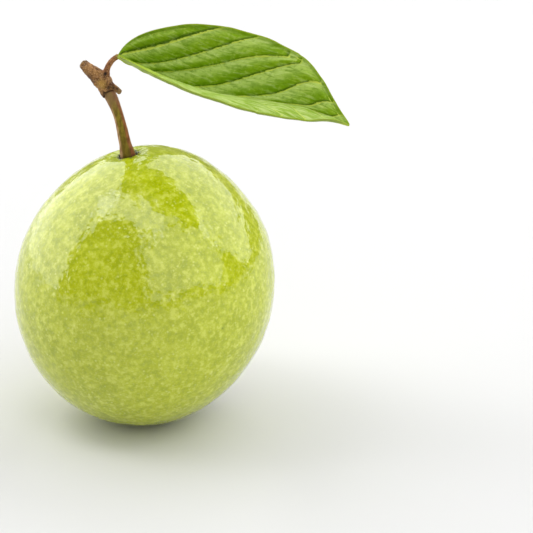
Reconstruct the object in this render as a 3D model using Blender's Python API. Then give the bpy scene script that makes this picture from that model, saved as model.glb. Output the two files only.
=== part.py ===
import math

import bmesh
import bpy
import numpy as np
from mathutils import Matrix, Vector, noise

# Guava with its stalk, a bit of twig and one leaf. All sizes below are in millimetres.
MM = 0.001

# Fruit
FRUIT_RADIUS = 44.75
FRUIT_HALF_HEIGHT = 49.0
FRUIT_CENTRE = (2.05, 0.0, 48.35)
FRUIT_LEAN = 0.043
TOP_NARROWING = 0.052
SKIN_WAVE = 0.35
STALK_TILT = (-0.174, 0.033)
CALYX_ANGLE = math.radians(35.0)
CALYX_HEADING = math.radians(40.0)
AROUND_FRUIT = 56

# Dimple and socket of the stalk
SOCKET_RADIUS = 3.5
SOCKET_DEPTH = 2.0
DIMPLE_DEPTH = 0.9
DIMPLE_RADIUS = 8.5
CREASE_COUNT = 9
CREASE_DEPTH = 0.22

# Basin of the calyx
BASIN_DEPTH = 3.2
BASIN_INNER = 2.5
BASIN_OUTER = 14.5

# Calyx
GAP = 0.36
CALYX_HOLE = 2.9
RING_RADIUS = 5.4
LOBE_REACH = 11.6
LOBE_COUNT = 5
LOBE_THICKNESS = 1.9
DISC_RADIUS = 2.35
STYLE_RADIUS = 0.55
STYLE_HEIGHT = 2.1

# Stalk
JOINT_GAP = 0.34
LEAF_GAP = 0.7
STALK_BASE_RADIUS = 2.96
STALK_WAIST_RADIUS = 1.72
STALK_TOP_RADIUS = 2.15

# Twig
NODE_RADIUS = 2.95
SPUR_RADIUS = 0.85
STUB_RADIUS = 1.55
STUB_HOLLOW = 0.9
PETIOLE_RADIUS = 1.25

# Leaf
LEAF_HALF_WIDTH = 22.65
LEAF_THICKNESS = 0.7
LEAF_NECK = 0.85
RIB_HEIGHT = 0.6
RIB_WIDTH = 1.1
VEIN_STARTS = (-0.02, 0.05, 0.12, 0.29, 0.47, 0.70, 0.87, 1.1)
VEIN_RELIEF = 1.0
NEAR_RELIEF = 0.5
EDGE_WAVE = 0.12
SIDE_RIB = 0.3
ALONG_LEAF = 50
ACROSS_HALF = (0.0, 0.035, 0.08, 0.16, 0.27, 0.39, 0.52, 0.65, 0.78, 0.87, 0.94, 1.0)


def clamp(value, low, high):
    return max(low, min(high, value))


def smooth(low, high, value):
    part = clamp((value - low) / (high - low), 0.0, 1.0)
    return part * part * (3.0 - 2.0 * part)


def through(knots, part):
    """Point on a smooth curve through the knots, with part running from 0 to 1."""
    points = [np.array(knot, dtype=float) for knot in knots]
    last = len(points) - 1
    place = clamp(part, 0.0, 1.0) * last
    index = min(int(place), last - 1)
    step = place - index
    start = points[index]
    end = points[index + 1]
    before = points[index - 1] if index > 0 else 2.0 * start - end
    after = points[index + 2] if index + 2 <= last else 2.0 * end - start
    bend_one = (end - before) * step
    bend_two = (2.0 * before - 5.0 * start + 4.0 * end - after) * step ** 2
    bend_three = (3.0 * start - before - 3.0 * end + after) * step ** 3
    return 0.5 * (2.0 * start + bend_one + bend_two + bend_three)


def unit(vector):
    return vector / np.linalg.norm(vector)


def turned(vector, axis, angle):
    rotated = Matrix.Rotation(angle, 3, Vector(axis)) @ Vector(vector)
    return np.array(rotated)


def wave(point, scale, shift):
    """Smooth noise between about -1 and 1 that repeats exactly."""
    place = Vector((point[0] / scale + shift, point[1] / scale - shift, point[2] / scale + 2.0 * shift))
    return noise.noise(place)


def finish(name, bm, colour, roughness):
    bmesh.ops.recalc_face_normals(bm, faces=bm.faces)
    if bm.calc_volume(signed=True) < 0.0:
        bmesh.ops.reverse_faces(bm, faces=bm.faces)
    mesh = bpy.data.meshes.new(name)
    bm.to_mesh(mesh)
    bm.free()
    for polygon in mesh.polygons:
        polygon.use_smooth = True
    material = bpy.data.materials.new(name)
    material.use_nodes = True
    shader = material.node_tree.nodes["Principled BSDF"]
    shader.inputs["Base Color"].default_value = colour
    shader.inputs["Roughness"].default_value = roughness
    shader.inputs["Metallic"].default_value = 0.0
    mesh.materials.append(material)
    body = bpy.data.objects.new(name, mesh)
    bpy.context.scene.collection.objects.link(body)
    return body


def grid_body(rings, start_point, end_point):
    """Closed body from rings of points, closed at each end by a fan round one point."""
    bm = bmesh.new()
    rows = []
    for ring in rings:
        rows.append([bm.verts.new(tuple(point * MM)) for point in ring])
    first = bm.verts.new(tuple(start_point * MM))
    final = bm.verts.new(tuple(end_point * MM))
    count = len(rows[0])
    for index in range(count):
        after = (index + 1) % count
        bm.faces.new((first, rows[0][after], rows[0][index]))
        bm.faces.new((final, rows[-1][index], rows[-1][after]))
        for lower, upper in zip(rows[:-1], rows[1:]):
            bm.faces.new((lower[index], lower[after], upper[after]))
            bm.faces.new((lower[index], upper[after], upper[index]))
    return bm


# Fruit surface, as a function of the angle from the stalk and the angle round
STALK_HEADING = np.array((STALK_TILT[0], STALK_TILT[1], 1.0))
CALYX_AXIS = np.array((math.sin(CALYX_HEADING), -math.cos(CALYX_HEADING), 0.0))


def plain_surface(theta, phi):
    direction = np.array((math.sin(theta) * math.cos(phi), math.sin(theta) * math.sin(phi), math.cos(theta)))
    stalk_axis = unit(np.cross((0.0, 0.0, 1.0), STALK_HEADING))
    stalk_angle = math.asin(math.hypot(*STALK_TILT))
    direction = turned(direction, stalk_axis, stalk_angle * (1.0 - smooth(0.0, 1.9, theta)))
    direction = turned(direction, CALYX_AXIS, CALYX_ANGLE * smooth(1.0, math.pi, theta))
    narrow = 1.0 - TOP_NARROWING * smooth(0.3, 0.95, direction[2])
    swell = SKIN_WAVE * wave(direction, 0.62, 3.1) + 0.4 * SKIN_WAVE * wave(direction, 0.27, 7.7)
    x = FRUIT_RADIUS * narrow * direction[0] + FRUIT_LEAN * FRUIT_HALF_HEIGHT * direction[2]
    y = FRUIT_RADIUS * narrow * direction[1]
    z = FRUIT_HALF_HEIGHT * direction[2]
    return np.array(FRUIT_CENTRE) + np.array((x, y, z)) + swell * unit(np.array((x, y, z)))


def surface_normal(theta, phi):
    step = 0.01
    if theta < step or theta > math.pi - step:
        ring = [plain_surface(abs(theta - 2.0 * step), turn * 0.5 * math.pi) for turn in range(4)]
        across = np.cross(ring[2] - ring[0], ring[3] - ring[1])
    else:
        along = plain_surface(theta + step, phi) - plain_surface(theta - step, phi)
        across = np.cross(along, plain_surface(theta, phi + step) - plain_surface(theta, phi - step))
    outward = unit(across)
    middle = plain_surface(theta, phi) - np.array(FRUIT_CENTRE)
    return outward if np.dot(outward, middle) > 0.0 else -outward


STALK_POLE = plain_surface(0.0, 0.0)
STALK_OUT = surface_normal(0.0, 0.0)
CALYX_OUT = surface_normal(math.pi, 0.0)


def dimple(reach, phi):
    hollow = DIMPLE_DEPTH * (1.0 - smooth(SOCKET_RADIUS, DIMPLE_RADIUS, reach))
    fold = math.cos(CREASE_COUNT * phi + 2.2 * math.sin(2.0 * phi + 0.6))
    fade = smooth(SOCKET_RADIUS, 4.4, reach) * (1.0 - smooth(4.8, 8.2, reach))
    return hollow + CREASE_DEPTH * fade * fold


def basin(reach):
    return BASIN_DEPTH * (1.0 - smooth(BASIN_INNER, BASIN_OUTER, reach))


def fruit_surface(theta, phi):
    point = plain_surface(theta, phi)
    top_reach = FRUIT_RADIUS * theta
    if top_reach < DIMPLE_RADIUS + 2.0:
        return point - dimple(top_reach, phi) * STALK_OUT
    low_reach = FRUIT_RADIUS * (math.pi - theta)
    if low_reach < BASIN_OUTER:
        return point - basin(low_reach) * CALYX_OUT
    return point


def build_fruit():
    rings = []
    turns = [2.0 * math.pi * index / AROUND_FRUIT for index in range(AROUND_FRUIT)]
    floor_depth = (DIMPLE_DEPTH + SOCKET_DEPTH) * STALK_OUT
    for reach in (1.7, SOCKET_RADIUS):
        rings.append([plain_surface(reach / FRUIT_RADIUS, phi) - floor_depth for phi in turns])
    for reach in (SOCKET_RADIUS + 0.08, 3.75, 4.4, 5.3, 6.4, 7.6, 9.0, 11.0, 13.5):
        rings.append([fruit_surface(reach / FRUIT_RADIUS, phi) for phi in turns])
    start = 16.8 / FRUIT_RADIUS
    end = math.pi - 16.5 / FRUIT_RADIUS
    rows = 22
    for index in range(rows + 1):
        theta = start + (end - start) * index / rows
        rings.append([fruit_surface(theta, phi) for phi in turns])
    for reach in (14.4, 12.8, 11.2, 9.6, 8.0, 6.5, 5.0, 3.6, 1.9):
        rings.append([fruit_surface(math.pi - reach / FRUIT_RADIUS, phi) for phi in turns])
    low_end = fruit_surface(math.pi, 0.0)
    bm = grid_body(rings, STALK_POLE - floor_depth, low_end)
    every = bm.verts[:] + bm.edges[:] + bm.faces[:]
    cut = bmesh.ops.bisect_plane(bm, geom=every, dist=0.0001 * MM, plane_co=(0.0, 0.0, 0.0),
                                 plane_no=(0.0, 0.0, 1.0), clear_inner=True)
    rim = [item for item in cut["geom_cut"] if isinstance(item, bmesh.types.BMVert)]
    bmesh.ops.remove_doubles(bm, verts=rim, dist=0.25 * MM)
    open_edges = [edge for edge in bm.edges if edge.is_boundary]
    bmesh.ops.contextual_create(bm, geom=open_edges)
    return finish("fruit", bm, (0.43, 0.52, 0.06, 1.0), 0.32)


def sweep(knots, radius, around, along, ends, waver, shift):
    """Closed body swept along a curve. Each end is "flat", "round" or "hollow"."""
    points = [through(knots, index / along) for index in range(along + 1)]
    rings = []
    side = unit(np.cross((0.0, 1.0, 0.0), points[1] - points[0]))
    caps = []
    for index, middle in enumerate(points):
        before = points[max(index - 1, 0)]
        after = points[min(index + 1, along)]
        ahead = unit(after - before)
        side = unit(side - np.dot(side, ahead) * ahead)
        other = np.cross(ahead, side)
        size = radius(index / along)
        ring = []
        for turn in range(around):
            angle = 2.0 * math.pi * turn / around
            spoke = math.cos(angle) * side + math.sin(angle) * other
            rough = 1.0 + waver * wave(middle + size * spoke, 1.6, shift)
            ring.append(middle + size * rough * spoke)
        rings.append(ring)
        if index in (0, along):
            caps.append((middle, ahead if index == along else -ahead, ring))
    first = []
    final = []
    for kind, target, (middle, outward, ring) in zip(ends, (first, final), caps):
        size = np.linalg.norm(ring[0] - middle)
        if kind == "hollow":
            target.append([middle + 0.72 * (point - middle) + 0.05 * size * outward for point in ring])
            target.append([middle + 0.42 * (point - middle) - 0.42 * size * outward for point in ring])
            target.append(middle - STUB_HOLLOW * 0.6 * size * outward)
        elif kind == "round":
            target.append([middle + 0.86 * (point - middle) + 0.32 * size * outward for point in ring])
            target.append([middle + 0.5 * (point - middle) + 0.58 * size * outward for point in ring])
            target.append(middle + 0.7 * size * outward)
        else:
            target.append(middle)
    every = list(reversed(first[:-1])) + rings + final[:-1]
    return grid_body(every, first[-1], final[-1])


def joined(bodies):
    """One body from several that overlap."""
    base = bodies[0]
    for extra in bodies[1:]:
        union = base.modifiers.new("union", "BOOLEAN")
        union.operation = "UNION"
        union.solver = "EXACT"
        union.object = extra
    bpy.context.view_layer.update()
    shape = base.evaluated_get(bpy.context.evaluated_depsgraph_get())
    bm = bmesh.new()
    bm.from_mesh(shape.to_mesh())
    for body in bodies:
        bpy.data.objects.remove(body, do_unlink=True)
    bmesh.ops.remove_doubles(bm, verts=bm.verts, dist=0.02 * MM)
    bmesh.ops.triangulate(bm, faces=bm.faces)
    return bm


def loose(bm):
    bmesh.ops.recalc_face_normals(bm, faces=bm.faces)
    mesh = bpy.data.meshes.new("piece")
    bm.to_mesh(mesh)
    bm.free()
    body = bpy.data.objects.new("piece", mesh)
    bpy.context.scene.collection.objects.link(body)
    return body


# Stalk
SEAT = STALK_POLE - (DIMPLE_DEPTH + SOCKET_DEPTH - GAP) * STALK_OUT
STALK_PATH = (
    SEAT,
    STALK_POLE - 0.2 * STALK_OUT,
    (-4.1, 1.5, 100.9),
    (-5.2, 1.5, 106.8),
    (-6.8, 1.5, 112.6),
    (-9.1, 1.5, 118.2),
)


def stalk_radius(part):
    foot = STALK_BASE_RADIUS * (1.0 - 0.12 * smooth(0.0, 0.17, part))
    foot -= (0.88 * STALK_BASE_RADIUS - 2.0) * smooth(0.17, 0.38, part)
    waist = (2.0 - STALK_WAIST_RADIUS) * smooth(0.38, 0.68, part)
    head = (STALK_TOP_RADIUS - STALK_WAIST_RADIUS) * smooth(0.7, 1.0, part)
    return foot - waist + head


def build_stalk():
    bm = sweep(STALK_PATH, stalk_radius, 20, 22, ("flat", "flat"), 0.05, 1.3)
    return finish("fruit_stalk", bm, (0.24, 0.18, 0.035, 1.0), 0.6)


# Twig, from the joint with the stalk to the cut stub
JOINT_AHEAD = unit(np.array(STALK_PATH[-1]) - through(STALK_PATH, 0.95))
JOINT = np.array(STALK_PATH[-1]) + JOINT_GAP * JOINT_AHEAD
TWIG_PATH = (
    JOINT,
    (-10.55, 1.5, 121.25),
    (-12.9, 1.3, 123.6),
    (-15.2, 0.6, 125.9),
    (-17.2, -0.5, 128.3),
)


def twig_radius(part):
    swell = STALK_TOP_RADIUS + 0.1 + (NODE_RADIUS - STALK_TOP_RADIUS - 0.1) * smooth(0.0, 0.26, part)
    taper = clamp((part - 0.34) / 0.66, 0.0, 1.0) ** 0.9
    return swell - (swell - STUB_RADIUS) * taper


# Leaf midrib, from the petiole to the tip
MIDRIB = (
    (-5.6, 2.0, 130.2),
    (9.9, -6.2, 125.0),
    (25.6, -14.8, 122.65),
    (41.1, -23.6, 123.15),
    (56.2, -32.8, 123.55),
    (70.3, -42.0, 120.9),
)
LEAF_AHEAD = unit(through(MIDRIB, 0.01) - through(MIDRIB, 0.0))
PETIOLE_PATH = (
    (-11.0, 1.2, 122.2),
    (-10.1, 1.2, 123.8),
    (-9.6, 1.2, 125.6),
    (-9.1, 1.5, 127.6),
    (-8.1, 2.2, 129.4),
    np.array(MIDRIB[0]) - 1.3 * LEAF_AHEAD,
    np.array(MIDRIB[0]) - LEAF_GAP * LEAF_AHEAD,
)


def petiole_radius(part):
    return PETIOLE_RADIUS + 0.9 * (1.0 - smooth(0.0, 0.5, part)) - 0.35 * smooth(0.45, 1.0, part)


def build_twig():
    wood = loose(sweep(TWIG_PATH, twig_radius, 18, 18, ("flat", "hollow"), 0.16, 4.4))
    petiole = loose(sweep(PETIOLE_PATH, petiole_radius, 14, 14, ("round", "flat"), 0.06, 2.2))
    spur_path = ((-9.8, 0.6, 121.4), (-7.7, 0.1, 120.7), (-6.2, -0.1, 119.7), (-5.2, -0.2, 118.9))
    spur = loose(sweep(spur_path, lambda part: SPUR_RADIUS + 0.4 * (1.0 - smooth(0.0, 0.5, part)), 12, 8,
                       ("round", "hollow"), 0.1, 5.1))
    flap_path = ((-11.9, 0.7, 121.2), (-12.1, 0.2, 119.6), (-11.7, -0.1, 118.0), (-11.2, -0.3, 116.6))
    flap = loose(sweep(flap_path, lambda part: 0.95 - 0.5 * smooth(0.1, 1.0, part), 10, 7,
                       ("round", "round"), 0.1, 6.3))
    bud_path = ((-12.3, 0.6, 121.9), (-13.0, 0.2, 121.5), (-13.6, 0.0, 121.1))
    bud = loose(sweep(bud_path, lambda part: 1.5 - 0.6 * part, 10, 5, ("round", "round"), 0.1, 8.2))
    bm = joined([wood, petiole, spur, flap, bud])
    return finish("twig", bm, (0.23, 0.12, 0.04, 1.0), 0.75)


# Leaf blade
def leaf_half_width(along):
    inside = clamp(along, 0.0, 1.0)
    body = inside ** 0.6 * (1.0 - inside) ** 0.815 / 0.381
    body *= 1.0 - 0.505 * smooth(0.705, 1.0, inside)
    return LEAF_NECK * (1.0 - inside) + 0.35 * inside + (LEAF_HALF_WIDTH - 0.6) * body


def near_share(along):
    """Width of the near half as a share of the far half's."""
    return 0.45 + 0.55 * smooth(0.0, 0.2, along)


def far_rise(along):
    return math.radians(46.0 + 33.0 * (1.0 - along) ** 1.06)


def near_rise(along):
    droop = 0.7 * along + 41.8 * along ** 2 - 43.6 * smooth(0.859, 1.0, along)
    return math.radians(31.1 - droop)


def vein_along(start, across):
    """Share of the length where a side vein that leaves the midrib at start is this far across."""
    room = 0.25 - 0.2 * smooth(0.25, 0.55, start)
    rise = 0.38 * smooth(0.08, 0.36, start) * (1.0 - math.exp(-across / room))
    lean = 0.40 + 0.36 * smooth(-0.02, 0.15, start) - 0.44 * smooth(0.10, 0.33, start)
    bow = 1.7 - 0.65 * smooth(-0.03, 0.06, start)
    return start + (1.0 - start) * (rise + lean * across ** bow)


def vein_place(along, across):
    """Counts up by one from each side vein to the next."""
    low = -0.6
    high = 1.0
    inner = min(across, 0.85)
    for _ in range(24):
        middle = 0.5 * (low + high)
        if vein_along(middle, inner) < along:
            low = middle
        else:
            high = middle
    before = VEIN_STARTS[0]
    if low < before:
        return 1.0 - 0.5 * smooth(before, before - 0.25, low)
    for number in range(len(VEIN_STARTS) - 1):
        if low < VEIN_STARTS[number + 1]:
            part = (low - VEIN_STARTS[number]) / (VEIN_STARTS[number + 1] - VEIN_STARTS[number])
            return number + 1.0 + part
    return float(len(VEIN_STARTS))


def leaf_relief(along, across, offset):
    """Height of the blade between its sunk side veins, and the rib under each vein."""
    away = abs(across)
    place = vein_place(along, away) + offset
    from_rim = (1.0 - away) * leaf_half_width(along)
    between = abs(math.sin(math.pi * place)) * smooth(1.5, 3.8, from_rim)
    fade = smooth(0.03, 0.16, away) * smooth(0.1, 1.3, from_rim) * smooth(0.02, 0.12, along)
    fade *= 1.0 - smooth(0.86, 0.98, along)
    height = VEIN_RELIEF * fade * (between ** 0.7 - 0.6)
    if across < 0.0:
        height *= NEAR_RELIEF
    under = SIDE_RIB * fade * (1.0 - smooth(0.0, 0.3, between))
    return height, under


def leaf_point(along, across):
    middle = through(MIDRIB, along)
    ahead = unit(through(MIDRIB, along + 0.01) - through(MIDRIB, along - 0.01))
    side = unit(np.cross((0.0, 0.0, 1.0), ahead))
    upward = np.cross(ahead, side)
    away = abs(across)
    if across >= 0.0:
        rise = far_rise(along) - math.radians(8.0) * (away - 0.5)
        spoke = math.cos(rise) * side + math.sin(rise) * upward
    else:
        rise = near_rise(along) - math.radians(4.0) * (away - 0.5)
        spoke = -math.cos(rise) * side + math.sin(rise) * upward
    edge = EDGE_WAVE * smooth(0.75, 1.0, away) * math.sin(2.0 * math.pi * vein_place(along, away))
    edge *= smooth(0.05, 0.2, along) * (1.0 - smooth(0.8, 0.97, along))
    width = leaf_half_width(along)
    if across < 0.0:
        width *= near_share(along)
    return middle + width * away * spoke + edge * upward


def leaf_normal(along, across):
    step = 0.01
    low = clamp(along - step, 0.0, 1.0)
    high = clamp(along + step, 0.0, 1.0)
    left = clamp(across - 0.05, -1.0, 1.0)
    right = clamp(across + 0.05, -1.0, 1.0)
    span = leaf_point(high, across) - leaf_point(low, across)
    return unit(np.cross(span, leaf_point(along, right) - leaf_point(along, left)))


def build_leaf():
    bm = bmesh.new()
    lines = [-away for away in reversed(ACROSS_HALF[1:])] + list(ACROSS_HALF)
    upper = []
    lower = []
    for row in range(ALONG_LEAF + 1):
        share = row / ALONG_LEAF
        share = share - 0.035 * math.sin(2.0 * math.pi * share)
        upper_row = []
        lower_row = []
        for across in lines:
            slant = 0.9 * share * (1.0 - share) * (0.5 * abs(across))
            along = clamp(share + slant, 0.0, 1.0)
            offset = 0.0 if across >= 0.0 else 0.45
            height, under = leaf_relief(along, across, offset)
            normal = leaf_normal(along, across)
            middle = leaf_point(along, across) + height * normal
            distance = abs(across) * leaf_half_width(along)
            rib = math.exp(-(distance / RIB_WIDTH) ** 2) * (1.0 - 0.75 * along)
            top = 0.5 * LEAF_THICKNESS + 0.25 * rib
            below = 0.5 * LEAF_THICKNESS + RIB_HEIGHT * rib + under
            upper_row.append(bm.verts.new(tuple((middle + top * normal) * MM)))
            lower_row.append(bm.verts.new(tuple((middle - below * normal) * MM)))
        upper.append(upper_row)
        lower.append(lower_row)
    last = len(lines) - 1
    for row in range(ALONG_LEAF):
        for column in range(last):
            for layer in (upper, lower):
                one = layer[row][column]
                two = layer[row + 1][column]
                three = layer[row + 1][column + 1]
                four = layer[row][column + 1]
                if lines[column] >= 0.0:
                    bm.faces.new((one, two, three))
                    bm.faces.new((one, three, four))
                else:
                    bm.faces.new((one, two, four))
                    bm.faces.new((two, three, four))
    rim = [(0, column) for column in range(last)]
    rim += [(row, last) for row in range(ALONG_LEAF)]
    rim += [(ALONG_LEAF, column) for column in range(last, 0, -1)]
    rim += [(row, 0) for row in range(ALONG_LEAF, 0, -1)]
    for index, (row, column) in enumerate(rim):
        next_row, next_column = rim[(index + 1) % len(rim)]
        corner = upper[row][column]
        across_corner = lower[next_row][next_column]
        bm.faces.new((corner, upper[next_row][next_column], across_corner))
        bm.faces.new((corner, across_corner, lower[row][column]))
    return finish("leaf", bm, (0.15, 0.27, 0.02, 1.0), 0.42)


# Calyx: a ring with five fleshy lobes lying back on the skin of the basin
def lobe_outline(phi):
    swing = 0.09 * math.sin(2.0 * phi + 0.7)
    wedge = abs(math.cos(0.5 * LOBE_COUNT * (phi + swing)))
    reach = LOBE_REACH * (1.0 + 0.05 * math.sin(3.0 * phi + 1.1))
    return RING_RADIUS + (reach - RING_RADIUS) * wedge ** 0.62


def build_calyx():
    around = 13 * LOBE_COUNT
    shares = (0.0, 0.16, 0.34, 0.54, 0.74, 0.9, 1.0)
    under_rings = []
    over_rings = []
    for share in shares:
        under_ring = []
        over_ring = []
        for index in range(around):
            phi = 2.0 * math.pi * index / around
            reach = CALYX_HOLE + share * (lobe_outline(phi) - CALYX_HOLE)
            theta = math.pi - reach / FRUIT_RADIUS
            skin = fruit_surface(theta, phi)
            out = unit(surface_normal(theta, phi) + 0.6 * CALYX_OUT)
            wedge = math.cos(LOBE_COUNT * (phi + 0.09 * math.sin(2.0 * phi + 0.7)))
            groove = 0.12 * math.cos(4.0 * LOBE_COUNT * phi) * smooth(0.3, 0.6, share)
            curl = 0.7 * smooth(0.55, 1.0, share) * smooth(-0.2, 0.9, wedge)
            body = LOBE_THICKNESS * (1.0 - 0.45 * share) + 0.35 * smooth(0.25, 0.0, share) + groove
            edge = 0.32 if share in (0.0, 1.0) else 0.0
            low = GAP + curl + 0.6 * edge
            under_ring.append(skin + low * out)
            over_ring.append(skin + (low + body - 1.6 * edge) * out)
        under_rings.append(under_ring)
        over_rings.append(over_ring)
    bm = bmesh.new()
    loop = under_rings + list(reversed(over_rings))
    rows = []
    for ring in loop:
        rows.append([bm.verts.new(tuple(point * MM)) for point in ring])
    for row in range(len(rows)):
        lower = rows[row]
        upper = rows[(row + 1) % len(rows)]
        for index in range(around):
            after = (index + 1) % around
            bm.faces.new((lower[index], lower[after], upper[after]))
            bm.faces.new((lower[index], upper[after], upper[index]))
    return finish("calyx", bm, (0.19, 0.24, 0.05, 1.0), 0.6)


def build_disc():
    """Dry disc inside the calyx, with the stub of the style."""
    around = 30
    side = unit(np.cross(CALYX_OUT, (0.0, 0.0, 1.0)))
    other = np.cross(CALYX_OUT, side)
    floor = fruit_surface(math.pi, 0.0)
    profile = (
        (0.5 * DISC_RADIUS, GAP + 0.05),
        (0.93 * DISC_RADIUS, GAP + 0.1),
        (DISC_RADIUS, GAP + 0.35),
        (DISC_RADIUS, GAP + 1.0),
        (0.88 * DISC_RADIUS, GAP + 1.3),
        (0.62 * DISC_RADIUS, GAP + 1.05),
        (1.3 * STYLE_RADIUS, GAP + 0.95),
        (STYLE_RADIUS, GAP + 1.15),
        (0.85 * STYLE_RADIUS, GAP + STYLE_HEIGHT),
        (0.5 * STYLE_RADIUS, GAP + STYLE_HEIGHT + 0.15),
    )
    rings = []
    for reach, height in profile:
        ring = []
        for index in range(around):
            phi = 2.0 * math.pi * index / around
            wide = reach * (1.0 + 0.04 * math.sin(5.0 * phi + 1.0) * (reach > 1.0))
            ring.append(floor + wide * (math.cos(phi) * side + math.sin(phi) * other) + height * CALYX_OUT)
        rings.append(ring)
    bm = grid_body(rings, floor + (GAP + 0.05) * CALYX_OUT, floor + (GAP + STYLE_HEIGHT + 0.18) * CALYX_OUT)
    return finish("floral_disc", bm, (0.13, 0.07, 0.03, 1.0), 0.85)


for stale in list(bpy.data.objects):
    bpy.data.objects.remove(stale, do_unlink=True)

build_fruit()
build_calyx()
build_disc()
build_stalk()
build_twig()
build_leaf()
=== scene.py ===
import math

import bmesh
import bpy
import numpy as np
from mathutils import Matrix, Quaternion, Vector, noise


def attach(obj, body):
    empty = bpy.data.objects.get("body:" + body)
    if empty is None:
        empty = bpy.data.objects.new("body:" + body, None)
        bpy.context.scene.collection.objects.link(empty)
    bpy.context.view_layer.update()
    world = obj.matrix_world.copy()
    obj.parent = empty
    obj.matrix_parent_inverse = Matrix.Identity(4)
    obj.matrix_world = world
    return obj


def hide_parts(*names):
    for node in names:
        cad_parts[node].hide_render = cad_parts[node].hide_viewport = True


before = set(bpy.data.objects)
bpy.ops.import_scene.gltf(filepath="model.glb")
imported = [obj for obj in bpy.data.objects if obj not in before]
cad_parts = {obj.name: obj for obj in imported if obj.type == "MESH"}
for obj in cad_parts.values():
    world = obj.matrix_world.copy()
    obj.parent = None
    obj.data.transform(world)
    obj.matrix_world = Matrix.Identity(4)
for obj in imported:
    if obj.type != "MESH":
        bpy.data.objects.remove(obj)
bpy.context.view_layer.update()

MM = 0.001


# small helpers

def clamp(value, low, high):
    return np.minimum(np.maximum(value, low), high)


def smooth(low, high, value):
    part = clamp((np.asarray(value, dtype=float) - low) / (high - low), 0.0, 1.0)
    return part * part * (3.0 - 2.0 * part)


def through(knots, part):
    points = np.array([np.array(knot, dtype=float) for knot in knots])
    last = len(points) - 1
    part = np.atleast_1d(np.asarray(part, dtype=float))
    place = clamp(part, 0.0, 1.0) * last
    index = np.minimum(place.astype(int), last - 1)
    step = (place - index)[:, None]
    full = np.vstack([2.0 * points[0] - points[1], points, 2.0 * points[-1] - points[-2]])
    before, start, end, after = full[index], full[index + 1], full[index + 2], full[index + 3]
    return 0.5 * (2.0 * start + (end - before) * step
                  + (2.0 * before - 5.0 * start + 4.0 * end - after) * step ** 2
                  + (3.0 * start - before - 3.0 * end + after) * step ** 3)


def unit(vectors):
    return vectors / np.maximum(np.linalg.norm(vectors, axis=-1, keepdims=True), 1e-12)


def turned(vectors, axis, angles):
    axis = unit(np.asarray(axis, dtype=float))
    c = np.cos(angles)[:, None]
    s = np.sin(angles)[:, None]
    along = (vectors @ axis)[:, None]
    round_axis = np.cross(np.broadcast_to(axis, vectors.shape), vectors)
    return vectors * c + round_axis * s + axis * along * (1.0 - c)


def wave(points, scale, shift):
    moved = points / scale + np.array((shift, -shift, 2.0 * shift))
    return np.array([noise.noise(Vector(p)) for p in moved])


def circle(count):
    """Angles of evenly spaced points round a ring."""
    return np.arange(count) * 2.0 * math.pi / count


def new_mesh(name, points, faces):
    """Mesh from points in millimetres, with its faces turned outward."""
    mesh = bpy.data.meshes.new(name)
    mesh.from_pydata((points * MM).tolist(), [], faces)
    mesh.update()
    outward(mesh)
    return mesh


def ring_mesh(name, rings, start, end):
    """Closed mesh over rings of points, with a fan to a point at either end."""
    rows = len(rings)
    columns = len(rings[0])
    row = np.arange(rows - 1)[:, None] * columns
    here = np.arange(columns)[None, :]
    beside = (here + 1) % columns
    above = row + columns
    quads = np.stack([row + here, row + beside, above + beside, above + here], axis=-1)
    faces = [tuple(quad) for quad in quads.reshape(-1, 4).tolist()]
    first = rows * columns
    top = first - columns
    faces += [(first, (k + 1) % columns, k) for k in range(columns)]
    faces += [(first + 1, top + k, top + (k + 1) % columns) for k in range(columns)]
    points = np.vstack([np.array(rings).reshape(-1, 3), np.array([start, end])])
    return new_mesh(name, points, faces), points


def outward(mesh):
    bm = bmesh.new()
    bm.from_mesh(mesh)
    bmesh.ops.recalc_face_normals(bm, faces=bm.faces)
    if bm.calc_volume(signed=True) < 0.0:
        bmesh.ops.reverse_faces(bm, faces=bm.faces)
    bm.to_mesh(mesh)
    bm.free()


def normals_of(mesh):
    values = np.empty(len(mesh.vertices) * 3)
    mesh.vertices.foreach_get("normal", values)
    return values.reshape(-1, 3)


def coordinates(mesh):
    """Places of the mesh's points in millimetres."""
    values = np.empty(len(mesh.vertices) * 3)
    mesh.vertices.foreach_get("co", values)
    return values.reshape(-1, 3) / MM


def attribute(mesh, name, values):
    layer = mesh.attributes.new(name, "FLOAT", "POINT")
    layer.data.foreach_set("value", np.asarray(values, dtype=np.float32))


def place(mesh, name, material, node, slot):
    for polygon in mesh.polygons:
        polygon.use_smooth = True
    mesh.materials.append(material)
    piece = bpy.data.objects.new(name, mesh)
    bpy.context.scene.collection.objects.link(piece)
    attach(piece, "root")
    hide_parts(node)
    return piece


SHADER_SOCKETS = {
    "color": "Base Color",
    "roughness": "Roughness",
    "specular": "Specular IOR Level",
    "ior": "IOR",
    "subsurface": "Subsurface Weight",
    "radius": "Subsurface Radius",
    "subsurface_scale": "Subsurface Scale",
    "normal": "Normal",
}


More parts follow.
